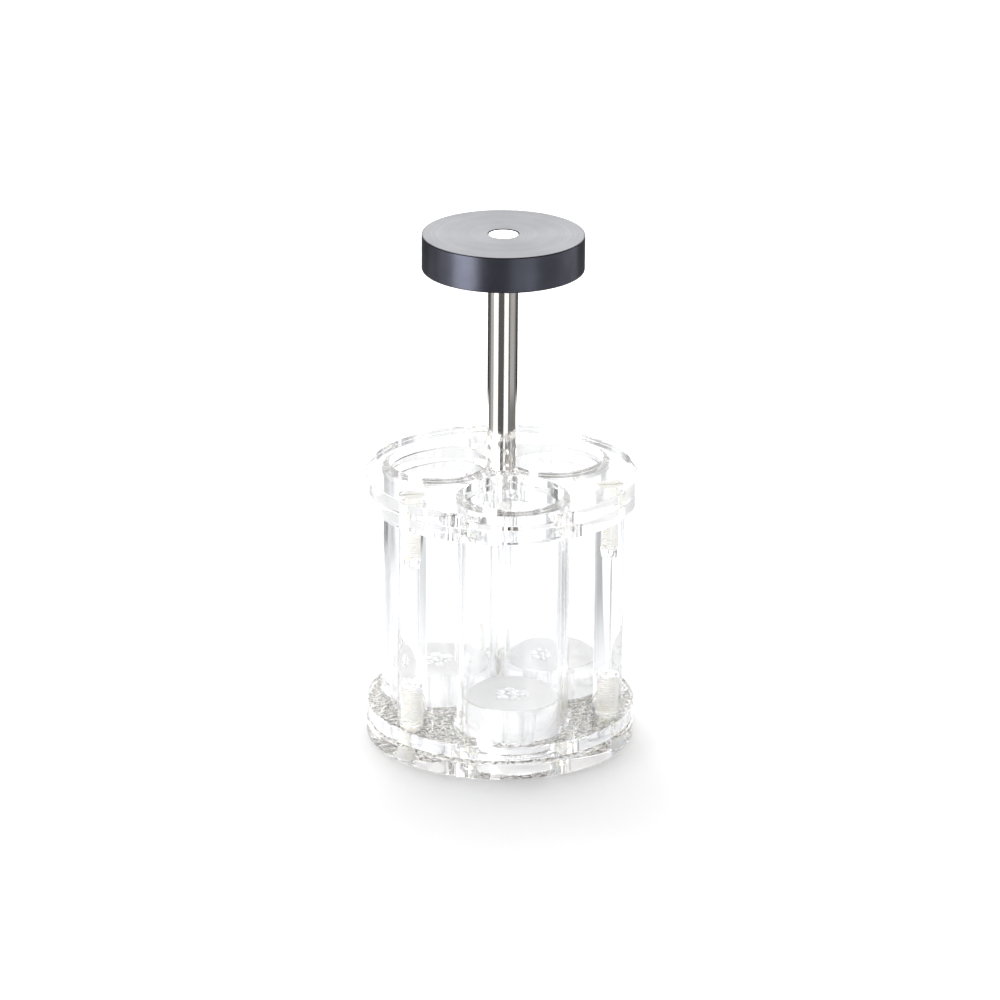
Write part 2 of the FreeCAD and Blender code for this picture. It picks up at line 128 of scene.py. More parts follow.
def make_object(name, verts, faces, sharp=30, flat=False):
    """A mesh object, smooth up to an angle."""
    mesh = bpy.data.meshes.new(name)
    mesh.from_pydata([tuple(v) for v in verts], [], faces)
    bm = bmesh.new()
    bm.from_mesh(mesh)
    bmesh.ops.remove_doubles(bm, verts=bm.verts, dist=1e-8)
    bmesh.ops.recalc_face_normals(bm, faces=bm.faces)
    bm.to_mesh(mesh)
    bm.free()
    if not flat:
        mesh.shade_smooth()
        mesh.set_sharp_from_angle(angle=math.radians(sharp))
    obj = bpy.data.objects.new(name, mesh)
    bpy.context.scene.collection.objects.link(obj)
    return obj


def ring_points(x, y, radius, z, count):
    """Points round a circle. The radius may be a function of the angle."""
    points = []
    for i in range(count):
        angle = FULL * i / count
        r = radius(angle) if callable(radius) else radius
        points.append((x + r * math.cos(angle), y + r * math.sin(angle), z))
    return points


def wall(verts, faces, x, y, profile, count, closed=False):
    """A surface of revolution, or a threaded one, through (radius, z) places. Gives its end rings' indices."""
    rings = []
    for radius, z in profile:
        start = len(verts)
        if radius == 0:
            verts.append((x, y, z))
            rings.append([start])
        else:
            verts.extend(ring_points(x, y, radius, z, count))
            rings.append(list(range(start, start + count)))
    pairs = list(zip(rings, rings[1:]))
    if closed:
        pairs.append((rings[-1], rings[0]))
    for low, high in pairs:
        for i in range(count):
            j = (i + 1) % count
            if len(low) == 1:
                faces.append((low[0], high[j], high[i]))
            elif len(high) == 1:
                faces.append((low[i], low[j], high[0]))
            else:
                faces.append((low[i], low[j], high[j], high[i]))
    return rings[0], rings[-1]


def cap(verts, faces, rings):
    """Fills the flat region between an outer ring and the rings of its holes."""
    bm = bmesh.new()
    where = {}
    edges = []
    for ring in rings:
        made = []
        for index in ring:
            vert = bm.verts.new(verts[index])
            where[vert] = index
            made.append(vert)
        for a, b in zip(made, made[1:] + made[:1]):
            edges.append(bm.edges.new((a, b)))
    bmesh.ops.triangle_fill(bm, edges=edges, use_beauty=True)
    for face in bm.faces:
        faces.append(tuple(where[v] for v in face.verts))
    bm.free()


def edged(low, high, radius, edge, outer=True):
    """A straight wall's profile with a broken edge at both ends, on a rim or in a hole."""
    end = radius - edge if outer else radius + edge
    return [(end, low), (radius, low + edge), (radius, high - edge), (end, high)]


def held(profile, margin=0.08 * MM, closed=False):
    """A profile with extra rings near the ends of its long stretches, so that smoothing leaves these flat."""
    stops = profile + profile[:1] if closed else profile
    points = [stops[0]]
    for (r1, z1), (r2, z2) in zip(stops, stops[1:]):
        length = 0 if callable(r1) or callable(r2) else math.hypot(r2 - r1, z2 - z1)
        if length > 8 * margin:
            share = margin / length
            for t in (share, 1 - share):
                points.append((r1 + (r2 - r1) * t, z1 + (z2 - z1) * t))
        points.append((r2, z2))
    return points[:-1] if closed else points


def slab(name, centre, low, high, rim, edge, holes, rim_count):
    """A round plate with holes given as (x, y, profile, count)."""
    verts, faces = [], []
    first, last = wall(verts, faces, *centre, edged(low, high, rim, edge), rim_count)
    lows, highs = [first], [last]
    for x, y, profile, count in holes:
        first, last = wall(verts, faces, x, y, profile, count)
        lows.append(first)
        highs.append(last)
    cap(verts, faces, lows)
    cap(verts, faces, highs)
    return make_object(name, verts, faces)


def thread_profile(crest, pitch, low, high):
    """Rings of a threaded shank between two heights. The thread fades out over some pitches at each end."""
    steps, fade = 8, 1.5
    depth = THREAD_SHARE * pitch
    profile = []
    count = max(2, round((high - low) / pitch * steps))
    for i in range(count + 1):
        z = low + (high - low) * i / count
        strength = min(1.0, (z - low) / (fade * pitch), (high - z) / (fade * pitch))

        def radius(angle, z=z, strength=max(0.0, strength)):
            turn = (z / pitch - angle / FULL) % 1
            tooth = 0.5 + 0.5 * math.cos(FULL * turn)
            return crest - depth * (1 - tooth) * strength
        profile.append((radius, z))
    return profile


def dress(piece, node, body, material):
    """Hands a piece its material, in its one slot, and its body, and hides the node that it stands for."""
    piece.data.materials.clear()
    piece.data.materials.append(material)
    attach(piece, body)
    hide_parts(node)


def face_slots(piece, material):
    """Gives a piece's level faces a second material."""
    piece.data.materials.append(material)
    for face in piece.data.polygons:
        face.material_index = 1 if abs(face.normal.z) > 0.9 else 0


# Materials

def new_material(name):
    """A material with its Principled shader, and its node tree."""
    material = bpy.data.materials.new(name)
    material.use_nodes = True
    tree = material.node_tree
    shader = next(n for n in tree.nodes if n.type == "BSDF_PRINCIPLED")
    return material, tree, shader


def add(tree, kind, inputs=None, **settings):
    """A node with its settings and its inputs' values."""
    node = tree.nodes.new(kind)
    for key, content in settings.items():
        setattr(node, key, content)
    for key, content in (inputs or {}).items():
        node.inputs[key].default_value = content
    return node


def noise(tree, scale, stretch=(1, 1, 1), detail=4.0, rough=0.55):
    """Noise in object coordinates, stretched along the axes. Scale is in features per metre."""
    coordinates = add(tree, "ShaderNodeTexCoord")
    mapping = add(tree, "ShaderNodeMapping")
    mapping.inputs["Scale"].default_value = stretch
    texture = add(tree, "ShaderNodeTexNoise", inputs={"Scale": scale, "Detail": detail, "Roughness": rough})
    tree.links.new(coordinates.outputs["Object"], mapping.inputs["Vector"])
    tree.links.new(mapping.outputs["Vector"], texture.inputs["Vector"])
    return texture.outputs["Fac"]


def ramp(tree, source, stops):
    """Maps a value through colour stops."""
    node = add(tree, "ShaderNodeValToRGB")
    while len(node.color_ramp.elements) < len(stops):
        node.color_ramp.elements.new(0.5)
    for element, (position, colour) in zip(node.color_ramp.elements, stops):
        element.position = position
        element.color = (*colour, 1) if len(colour) == 3 else colour
    tree.links.new(source, node.inputs["Fac"])
    return node.outputs["Color"]


def span(tree, source, low, high, new_low, new_high):
    """Maps a value's range to another, held at its ends."""
    node = add(tree, "ShaderNodeMapRange")
    for socket, number in (("From Min", low), ("From Max", high), ("To Min", new_low), ("To Max", new_high)):
        node.inputs[socket].default_value = number
    tree.links.new(source, node.inputs["Value"])
    return node.outputs["Result"]


def maths(tree, operation, a, b=None):
    """A Math node on sockets or numbers."""
    node = add(tree, "ShaderNodeMath", operation=operation)
    for socket, content in zip(node.inputs, (a, b)):
        if content is None:
            continue
        if isinstance(content, (int, float)):
            socket.default_value = content
        else:
            tree.links.new(content, socket)
    return node.outputs["Value"]


def bump(tree, shader, height, distance):
    """Joins a height to the shader's normal. Distance is in metres."""
    node = add(tree, "ShaderNodeBump", inputs={"Distance": distance, "Strength": 1.0})
    tree.links.new(height, node.inputs["Height"])
    tree.links.new(node.outputs["Normal"], shader.inputs["Normal"])


def object_place(tree):
    """The parts of a point's place on the object."""
    coordinates = add(tree, "ShaderNodeTexCoord")
    parts = add(tree, "ShaderNodeSeparateXYZ")
    tree.links.new(coordinates.outputs["Object"], parts.inputs["Vector"])
    return parts.outputs


def distance_from_axis(tree):
    """The distance from the Z axis, in metres."""
    place = object_place(tree)
    squares = [maths(tree, "MULTIPLY", place[axis], place[axis]) for axis in ("X", "Y")]
    return maths(tree, "SQRT", maths(tree, "ADD", *squares))


def acrylic(name, tint=(0.993, 0.996, 1.0), drawn=False, relief=0.0015, haze=0.0, clear=1.0):
    """Clear acrylic with faint haze and marks, drawn along Z or turned, and less clear where a tool has left it
    milky. Relief is the marks' depth in millimetres."""
    material, tree, shader = new_material(name)
    shader.inputs["Base Color"].default_value = (*tint, 1)
    shader.inputs["Transmission Weight"].default_value = clear
    shader.inputs["IOR"].default_value = 1.49
    wiped = span(tree, noise(tree, 260, detail=5), 0.5, 0.8, haze, haze + 0.035)
    tree.links.new(wiped, shader.inputs["Roughness"])
    marks = noise(tree, 900, (1, 1, 0.03) if drawn else (1, 0.05, 0.6), detail=3)
    bump(tree, shader, span(tree, marks, 0.4, 0.75, 0, 1), relief * MM)
    return material


def steel(name, colour, roughness, stretch, scale, depth, marks_and_glints=((0.25, 0.86), (0.75, 1.08))):
    """Bare steel with fine marks. Depth is theirs in millimetres, and the last argument gives the marks' limits
    and how dark or light they are: mild on the rod and the screw, as the steel's own tone, and strong on the
    wire, where they are painted shade and painted glints."""
    material, tree, shader = new_material(name)
    shader.inputs["Metallic"].default_value = 1
    marks = noise(tree, scale, stretch, detail=6, rough=0.6)
    tint = ramp(tree, marks, [(limit, tuple(min(1, c * share) for c in colour)) for limit, share in marks_and_glints])
    tree.links.new(tint, shader.inputs["Base Color"])
    tree.links.new(span(tree, marks, 0.3, 0.7, roughness * 0.75, roughness * 1.3), shader.inputs["Roughness"])
    bump(tree, shader, marks, depth * MM)
    return material


def anodised(name, dark, light, stretch, rough):
    """Black anodised aluminium with the fine grooves of turning about the Z axis."""
    material, tree, shader = new_material(name)
    shader.inputs["Metallic"].default_value = 1.0
    shader.inputs["Anisotropic"].default_value = stretch
    shader.inputs["Anisotropic Rotation"].default_value = 0.25
    tangent = add(tree, "ShaderNodeTangent", direction_type="RADIAL", axis="Z")
    tree.links.new(tangent.outputs["Tangent"], shader.inputs["Tangent"])
    radius = distance_from_axis(tree)
    place = add(tree, "ShaderNodeCombineXYZ")
    tree.links.new(radius, place.inputs["X"])
    tree.links.new(object_place(tree)["Z"], place.inputs["Y"])
    grooves = add(tree, "ShaderNodeTexNoise", inputs={"Scale": 2600, "Detail": 3, "Roughness": 0.6})
    tree.links.new(place.outputs["Vector"], grooves.inputs["Vector"])
    cloud = noise(tree, 90, detail=4)
    tint = ramp(tree, cloud, [(0.3, dark), (0.7, light)])
    geometry = add(tree, "ShaderNodeNewGeometry")
    facing_up = add(tree, "ShaderNodeSeparateXYZ")
    tree.links.new(geometry.outputs["True Normal"], facing_up.inputs["Vector"])
    tilt = maths(tree, "ABSOLUTE", facing_up.outputs["Z"])
    # The broken edges, which are neither level nor upright, are painted a deeper black: painted shade in place
    # of the dark reflection that these bevels show
    edges = maths(tree, "MULTIPLY", span(tree, tilt, 0.2, 0.35, 0, 1), span(tree, tilt, 0.96, 0.99, 1, 0))
    painted_edge_shade = add(tree, "ShaderNodeMix", data_type="RGBA")
    tree.links.new(edges, painted_edge_shade.inputs["Factor"])
    tree.links.new(tint, painted_edge_shade.inputs["A"])
    painted_edge_shade.inputs["B"].default_value = (0.012, 0.012, 0.016, 1)
    tree.links.new(painted_edge_shade.outputs["Result"], shader.inputs["Base Color"])
    ridged = span(tree, grooves.outputs["Fac"], 0.3, 0.7, rough * 0.9, rough * 1.15)
    tree.links.new(ridged, shader.inputs["Roughness"])
    bump(tree, shader, grooves.outputs["Fac"], 0.003 * MM)
    return material


def nylon(name):
    """Natural nylon: cream, waxy, with faint mottling."""
    material, tree, shader = new_material(name)
    cloud = noise(tree, 420, detail=5)
    tint = ramp(tree, cloud, [(0.3, (0.985, 0.975, 0.93)), (0.7, (0.995, 0.99, 0.96))])
    tree.links.new(tint, shader.inputs["Base Color"])
    tree.links.new(span(tree, cloud, 0.3, 0.7, 0.34, 0.5), shader.inputs["Roughness"])
    shader.inputs["Transmission Weight"].default_value = 0.4
    shader.inputs["IOR"].default_value = 1.53
    shader.inputs["Subsurface Weight"].default_value = 0.5
    shader.inputs["Subsurface Radius"].default_value = (0.003, 0.0027, 0.002)
    shader.inputs["Subsurface Scale"].default_value = 1.0
    bump(tree, shader, noise(tree, 2600, detail=2), 0.006 * MM)
    return material


PLATE_ACRYLIC = acrylic("acrylic_sheet")
TUBE_ACRYLIC = acrylic("acrylic_tube", drawn=True, relief=0.004)
PILLAR_ACRYLIC = acrylic("acrylic_rod", (0.99, 0.99, 0.99), drawn=True, relief=0.003)
WEIGHT_SIDE = acrylic("acrylic_disc_side", (0.998, 0.998, 1.0), drawn=True, relief=0.002, haze=0.16, clear=0.8)
WEIGHT_FACE = acrylic("acrylic_disc_face", (0.998, 0.998, 1.0), relief=0.0006, haze=0.3, clear=0.8)
# The wire's marks swing from 0.4 to 1.55 times its colour: painted shade and painted glints, in specks about a
# millimetre across
WIRE_STEEL = steel("steel_wire", (0.57, 0.55, 0.515), 0.37, (1, 1, 1), 1100, 0.01, ((0.41, 0.4), (0.59, 1.55)))
ROD_STEEL = steel("steel_rod", (0.88, 0.85, 0.82), 0.07, (1, 1, 0.02), 1400, 0.0005)
SCREW_STEEL = steel("steel_screw", (0.8, 0.79, 0.77), 0.24, (1, 1, 1), 900, 0.002)
BLACK_RIM = anodised("anodised_rim", (0.08, 0.084, 0.108), (0.102, 0.107, 0.135), 0.8, 0.36)
BLACK_FACE = anodised("anodised_face", (0.086, 0.088, 0.096), (0.106, 0.108, 0.117), 0.3, 0.4)
NYLON = nylon("nylon_cream")

# Plates
tube_centres = {name: centre_of(f"tube_{name}") for name in TUBES}
pillar_centres = {name: centre_of(f"pillar_{name}") for name in PILLARS}
plate_radius = width_of("base_plate")


def hole_radius(kind):
    """The radius of the hole that a plastic screw fills."""
    return kind.radius - SCREW_BITE


def plain_hole(low, high, radius):
    """A straight hole with finely broken edges."""
    return edged(low, high, radius, FINE_EDGE, outer=False)


def sunk_hole(low, high, kind, below):
    """A plastic screw's hole with a conical seat, at its lower or its upper mouth."""
    radius = hole_radius(kind)
    mouth = kind.head + HEAD_SINK + kind.rim - SCREW_BITE
    drop = mouth - radius
    if below:
        return [(mouth, low), (radius, low + drop), (radius, high - FINE_EDGE), (radius + FINE_EDGE, high)]
    return [(radius + FINE_EDGE, low), (radius, low + FINE_EDGE), (radius, high - drop), (mouth, high)]


def plate(node, low, high, bore, screw, middle=None):
    """A clear plate with three bores, three screw holes and, for the rod's screw, one in the middle."""
    holes = []
    for place in tube_centres.values():
        holes.append((place.x, place.y, edged(low, high, bore, BORE_EDGE, outer=False), 192))
    for place in pillar_centres.values():
        holes.append((place.x, place.y, screw, 64))
    if middle:
        holes.append((0, 0, plain_hole(low, high, middle), 64))
    piece = slab(f"{node}_clear", (0, 0), low, high, plate_radius, PLATE_EDGE, holes, 360)
    dress(piece, node, "rack", PLATE_ACRYLIC)


rod_screw_hole = ROD_SCREW_RADIUS + ROD_SCREW_GAP

low, high = clear_levels("base_plate", below=0)
plate("base_plate", low, high, TUBE_BORE_RADIUS, sunk_hole(low, high, FOOT_SCREW, below=True))

low, high = clear_levels("seat_plate")
plate("seat_plate", low, high, TUBE_HOLE_RADIUS, plain_hole(low, high, hole_radius(FOOT_SCREW)))

low, high = clear_levels("guide_plate")
plate("guide_plate", low, high, TUBE_HOLE_RADIUS, plain_hole(low, high, hole_radius(TOP_SCREW)), rod_screw_hole)

low, high = clear_levels("cover_plate", above=0)
plate("cover_plate", low, high, TUBE_BORE_RADIUS, sunk_hole(low, high, TOP_SCREW, below=False), rod_screw_hole)

# Tubes
for name, place in tube_centres.items():
    low, high = clear_levels(f"tube_{name}")
    profile = edged(low, high, TUBE_RADIUS, FINE_EDGE)
    profile += plain_hole(low, high, TUBE_BORE_RADIUS)[::-1]
    verts, faces = [], []
    wall(verts, faces, place.x, place.y, profile, 256, closed=True)
    piece = make_object(f"tube_{name}_clear", verts, faces)
    dress(piece, f"tube_{name}", "rack", TUBE_ACRYLIC)

# Perforated discs: one hole in the middle and six round it
hole_places = [(0.0, 0.0)]
for i in range(6):
    turn = math.radians(60 * i + 30)
    hole_places.append((WEIGHT_HOLE_CIRCLE * math.cos(turn), WEIGHT_HOLE_CIRCLE * math.sin(turn)))
for name, place in tube_centres.items():
    node = f"weight_{name}"
    low, high = clear_levels(node, above=0)
    hole = plain_hole(low, high, WEIGHT_HOLE_RADIUS)
    holes = [(place.x + dx, place.y + dy, hole, 64) for dx, dy in hole_places]
    piece = slab(f"{node}_clear", (place.x, place.y), low, high, width_of(node), WEIGHT_EDGE, holes, 256)
    dress(piece, node, f"{node}_body", WEIGHT_SIDE)
    face_slots(piece, WEIGHT_FACE)


# Plastic screws, and the pillars tapped for them

def slot_head(obj, place, z, kind, sign):
    """Cuts a screwdriver slot in a head whose face is at z."""
    over = 0.5 * MM
    run = kind.head + over
    half = kind.slot_width / 2
    depth = kind.slot_depth
    low, high = (z - depth, z + over) if sign > 0 else (z - over, z + depth)
    corners = []
    for corner_z in (low, high):
        for sx, sy in ((-1, -1), (1, -1), (1, 1), (-1, 1)):
            corners.append((place.x + sx * run, place.y + sy * half, corner_z))
    sides = [(0, 3, 2, 1), (4, 5, 6, 7), (0, 1, 5, 4), (1, 2, 6, 5), (2, 3, 7, 6), (3, 0, 4, 7)]
    cutter = make_object(f"{obj.name}_cutter", corners, sides, flat=True)
    modifier = obj.modifiers.new("slot", "BOOLEAN")
    modifier.operation = "DIFFERENCE"
    modifier.solver = "EXACT"
    modifier.object = cutter
    depsgraph = bpy.context.evaluated_depsgraph_get()
    mesh = bpy.data.meshes.new_from_object(obj.evaluated_get(depsgraph))
    obj.modifiers.clear()
    obj.data = mesh
    mesh.shade_smooth()
    mesh.set_sharp_from_angle(angle=math.radians(35))
    bpy.data.objects.remove(cutter)


def plastic_screw(node, place, kind, grip, from_above):
    """A slotted screw with a sunk head, a plain shank in the plates and a real thread beyond their height."""
    low, high = levels(node)
    sign, face, tip = (1, high, low) if from_above else (-1, low, high)
    radius, head = kind.radius, kind.head
    core = radius - THREAD_SHARE * kind.pitch
    point, turn, edge, plain = 0.3 * MM, 0.08 * MM, 0.1 * MM, 0.1 * MM
    rim = face - sign * kind.rim
    neck = rim - sign * (head - radius)
    start, end = sorted((tip + sign * (point + 0.05 * MM), grip - sign * plain))
    thread = thread_profile(radius, kind.pitch, start, end)
    profile = [(0, tip), (core, tip), (core, tip + sign * point)]
    profile += thread if from_above else thread[::-1]
    profile += [(radius, neck), (head - turn, rim - sign * turn), (head, rim)]
    profile += [(head, face - sign * edge), (head - edge, face), (0, face)]
    verts, faces = [], []
    wall(verts, faces, place.x, place.y, profile, 64)
    obj = make_object(f"{node}_threaded", verts, faces, sharp=40)
    slot_head(obj, place, face, kind, sign)
    dress(obj, node, "rack", NYLON)


def tapped_hole(radius, pitch, mouth, tip, past):
    """The profile of a blind threaded hole from its mouth to its drilled point. Past is how far the thread, the
    wall and the point reach beyond the tip of the screw in it."""
    sign = 1 if tip > mouth else -1
    thread_end, wall_end, point = (tip + sign * distance for distance in past)
    thread = thread_profile(radius, pitch, *sorted((mouth, thread_end)))
    return (thread if sign > 0 else thread[::-1]) + [(radius - THREAD_SHARE * pitch, wall_end), (0, point)]


guide_low = levels("guide_plate")[0]
seat_high = levels("seat_plate")[1]
for name, place in pillar_centres.items():
    plastic_screw(f"top_screw_{name}", place, TOP_SCREW, guide_low, from_above=True)
    plastic_screw(f"foot_screw_{name}", place, FOOT_SCREW, seat_high, from_above=False)
    low, high = clear_levels(f"pillar_{name}")
    foot_tip = levels(f"foot_screw_{name}")[1]
    top_tip = levels(f"top_screw_{name}")[0]
    profile = tapped_hole(hole_radius(FOOT_SCREW), FOOT_SCREW.pitch, low, foot_tip, FOOT_SCREW.past)[::-1]
    profile += edged(low, high, width_of(f"pillar_{name}"), FINE_EDGE)
    profile += tapped_hole(hole_radius(TOP_SCREW), TOP_SCREW.pitch, high, top_tip, TOP_SCREW.past)
    verts, faces = [], []
    wall(verts, faces, place.x, place.y, profile, 96)
    piece = make_object(f"pillar_{name}_clear", verts, faces)
    dress(piece, f"pillar_{name}", "rack", PILLAR_ACRYLIC)


# Woven gauze
gauze_low, gauze_high = levels("gauze")


def free_stretches(half, offset, screws):
    """The parts of a wire, from -half to half, that keep clear of the screws given as (along, across)."""
    keep_out = hole_radius(FOOT_SCREW) + 0.16 * MM
    shortest = 0.8 * MM
    stretches = [(-half, half)]
    for along, across in screws:
        aside = across - offset
        if abs(aside) >= keep_out:
            continue
        gap = math.sqrt(keep_out ** 2 - aside ** 2)
        cut = []
        for start, end in stretches:
            if along + gap <= start or along - gap >= end:
                cut.append((start, end))
                continue
            if along - gap > start:
                cut.append((start, along - gap))
            if along + gap < end:
                cut.append((along + gap, end))
        stretches = cut
    return [(start, end) for start, end in stretches if end - start >= shortest]


def add_wire(verts, faces, start, end, offset, number, is_warp):
    """A round wire that waves over and under those it crosses. Its number says which way it starts."""
    sides, steps_per_pitch = 8, 8
    middle = (gauze_low + gauze_high) / 2
    sign = 1 if is_warp else -1
    steps = max(2, math.ceil((end - start) / WEAVE_PITCH * steps_per_pitch))
    base = len(verts)
    for i in range(steps + 1):
        s = start + (end - start) * i / steps
        phase = math.pi * (s / WEAVE_PITCH - 0.5) + math.pi * number
        lift = sign * WIRE_RADIUS * math.cos(phase)
        tilt = math.atan(-sign * WIRE_RADIUS * math.sin(phase) * math.pi / WEAVE_PITCH)
        for j in range(sides):
            angle = FULL * (j + 0.5) / sides
            up = WIRE_RADIUS * math.sin(angle)
            along = s - up * math.sin(tilt)
            across = offset + WIRE_RADIUS * math.cos(angle)
            z = middle + lift + up * math.cos(tilt)
            if not is_warp:
                along, across = across, along
            x = along * math.cos(WEAVE_ANGLE) - across * math.sin(WEAVE_ANGLE)
            y = along * math.sin(WEAVE_ANGLE) + across * math.cos(WEAVE_ANGLE)
            verts.append((x, y, min(gauze_high, max(gauze_low, z))))
    for i in range(steps):
        here, there = base + i * sides, base + (i + 1) * sides
        for j in range(sides):
            n = (j + 1) % sides
            faces.append((here + j, here + n, there + n, there + j))
    faces.append(tuple(base + j for j in range(sides)))
    faces.append(tuple(base + steps * sides + j for j in range(sides)))


screws_on_weave = []
for place in pillar_centres.values():
    along = place.x * math.cos(WEAVE_ANGLE) + place.y * math.sin(WEAVE_ANGLE)
    across = -place.x * math.sin(WEAVE_ANGLE) + place.y * math.cos(WEAVE_ANGLE)
    screws_on_weave.append((along, across))
reach = plate_radius - 0.02 * MM
count = int(reach / WEAVE_PITCH) + 1
for label in ("warp", "weft"):
    is_warp = label == "warp"
    screws = screws_on_weave if is_warp else [(across, along) for along, across in screws_on_weave]
    verts, faces = [], []
    for number in range(-count - 1, count + 1):
        offset = (number + 0.5) * WEAVE_PITCH
        edge = abs(offset) + WIRE_RADIUS
        if edge >= reach:
            continue
        half = math.sqrt(reach ** 2 - edge ** 2)
        for start, end in free_stretches(half, offset, screws):
            add_wire(verts, faces, start, end, offset, number, is_warp)
    piece = make_object(f"gauze_{label}", verts, faces, sharp=60)
    dress(piece, "gauze", "rack", WIRE_STEEL)

# Rod
rod_radius = width_of("rod")
low, high = levels("rod")
profile = tapped_hole(rod_screw_hole, ROD_SCREW_PITCH, low, levels("rod_screw")[1], ROD_HOLE_PAST)[::-1]
profile += [(rod_radius - ROD_FOOT_BEVEL, low), (rod_radius - 0.04 * MM, low + ROD_FOOT_BEVEL - 0.04 * MM)]
profile += [(rod_radius, low + ROD_FOOT_BEVEL + 0.05 * MM), (rod_radius, high - ROD_TOP_BEVEL)]
profile += [(rod_radius - ROD_TOP_BEVEL, high), (0, high)]
verts, faces = [], []
wall(verts, faces, 0, 0, held(profile), 192)
piece = make_object("rod_polished", verts, faces)
dress(piece, "rod", "rack", ROD_STEEL)

# The rod's screw, with a hexagonal socket in its head
low, high = levels("rod_screw")
head = width_of("rod_screw")
neck = low + ROD_SCREW_HEAD_HEIGHT
edge = 0.1 * MM
profile = [(head - 0.3 * MM, low), (head - 0.06 * MM, low + 0.12 * MM), (head, low + 0.3 * MM)]
profile += [(head, neck - edge), (head - edge, neck), (ROD_SCREW_RADIUS, neck)]
profile += thread_profile(ROD_SCREW_RADIUS, ROD_SCREW_PITCH, neck + ROD_SCREW_PLAIN, high - 0.4 * MM)
profile += [(ROD_SCREW_RADIUS - THREAD_SHARE * ROD_SCREW_PITCH, high), (0, high)]
verts, faces = [], []
outer, _ = wall(verts, faces, 0, 0, profile, 96)
across = SOCKET_WIDTH / 2 / math.cos(math.pi / 6)
mouth = len(verts)
for z in (low, low + SOCKET_DEPTH):
    for i in range(6):
        angle = FULL * i / 6
        verts.append((across * math.cos(angle), across * math.sin(angle), z))
verts.append((0, 0, low + SOCKET_DEPTH + 0.7 * MM))
for i in range(6):
    j = (i + 1) % 6
    faces.append((mouth + i, mouth + j, mouth + 6 + j, mouth + 6 + i))
    faces.append((mouth + 6 + i, mouth + 6 + j, mouth + 12))
cap(verts, faces, [outer, list(range(mouth, mouth + 6))])
piece = make_object("rod_screw_socket", verts, faces)
dress(piece, "rod_screw", "rack", SCREW_STEEL)

# Black disc
low, high = levels("hanger_disc")
rim = width_of("hanger_disc")
bore = rod_radius + HANGER_FIT
edge, corner = HANGER_EDGE, 0.1 * MM
profile = [(bore, low), (rim - edge, low), (rim - corner, low + corner), (rim, low + edge)]
profile += [(rim, high - edge), (rim - corner, high - corner), (rim - edge, high)]
profile += [(bore + edge, high), (bore, high - edge)]
verts, faces = [], []
wall(verts, faces, 0, 0, held(profile, closed=True), 360, closed=True)
piece = make_object("hanger_disc_turned", verts, faces)
dress(piece, "hanger_disc", "rack", BLACK_RIM)
face_slots(piece, BLACK_FACE)

# Camera at the photograph's angle
right = Vector((math.cos(AZIMUTH), math.sin(AZIMUTH), 0))
forward = Vector((-math.sin(AZIMUTH), math.cos(AZIMUTH), 0))
back = -forward * math.cos(ELEVATION) + Vector((0, 0, math.sin(ELEVATION)))
turned = (-back).to_track_quat("-Z", "Y") @ Matrix.Rotation(CAMERA_ROLL, 4, "Z").to_quaternion()
camera = bpy.data.objects.new("camera", bpy.data.cameras.new("camera"))
camera.data.sensor_width = 36
camera.data.lens = CAMERA_LENS
camera.data.clip_end = 50
camera.rotation_mode = "QUATERNION"
camera.location = right * AIM_ASIDE + Vector((0, 0, AIM_HEIGHT)) + back * DISTANCE
camera.rotation_quaternion = turned
bpy.context.scene.collection.objects.link(camera)
bpy.context.scene.camera = camera


# Floor, surroundings and light

def light_path(tree, *kinds):
    """1 for rays of any of these kinds: Camera, Glossy, Transmission."""
    path = add(tree, "ShaderNodeLightPath")
    share = path.outputs[f"Is {kinds[0]} Ray"]
    for kind in kinds[1:]:
        share = maths(tree, "MAXIMUM", share, path.outputs[f"Is {kind} Ray"])
    return share


def background_share(tree):
    """1 for rays that show the background: from the camera, a reflection or through something clear."""
    return light_path(tree, "Camera", "Glossy", "Transmission")


def before_matt(tree):
    """1 for rays that have met no matt surface yet, so that none is lit by the studio's darker sides."""
    path = add(tree, "ShaderNodeLightPath")
    return maths(tree, "LESS_THAN", path.outputs["Diffuse Depth"], 0.5)


# The floor glows for the rays that show the background. The glow is weaker near the rack and weaker still under
# it: painted shade that deepens the rack's contact shadow and the floor seen under it
floor_mesh = bpy.data.meshes.new("floor")
reach = 6.0
corners = [(-reach, -reach, 0), (reach, -reach, 0), (reach, reach, 0), (-reach, reach, 0)]
floor_mesh.from_pydata(corners, [], [(0, 1, 2, 3)])
floor = bpy.data.objects.new("floor", floor_mesh)
floor.location.z = -0.02 * MM
bpy.context.scene.collection.objects.link(floor)
floor_material, tree, shader = new_material("floor")
grain = ramp(tree, noise(tree, 40, detail=3), [(0.3, (0.83, 0.83, 0.83)), (0.7, (0.85, 0.85, 0.85))])
tree.links.new(grain, shader.inputs["Base Color"])
shader.inputs["Roughness"].default_value = 0.9
shader.inputs["Specular IOR Level"].default_value = 0.2
shader.inputs["Emission Color"].default_value = (1, 1, 1, 1)
from_axis = distance_from_axis(tree)
# Through clear pieces the floor glows more beyond the rack and hardly at all under it: painted shade under the
# rack
beyond_rack = span(tree, from_axis, 0.044, 0.06, 0.02, 0.18)
through = maths(tree, "MULTIPLY", light_path(tree, "Transmission"), beyond_rack)
outwards = span(tree, from_axis, 0.04, 0.3, 0.24, 0.72)
painted_shade_under_rack = span(tree, from_axis, 0.044, 0.06, 0.13, 0.0)
glow = maths(tree, "SUBTRACT", outwards, painted_shade_under_rack)
glow = maths(tree, "MULTIPLY", background_share(tree), glow)
tree.links.new(maths(tree, "ADD", glow, through), shader.inputs["Emission Strength"])
floor.data.materials.append(floor_material)

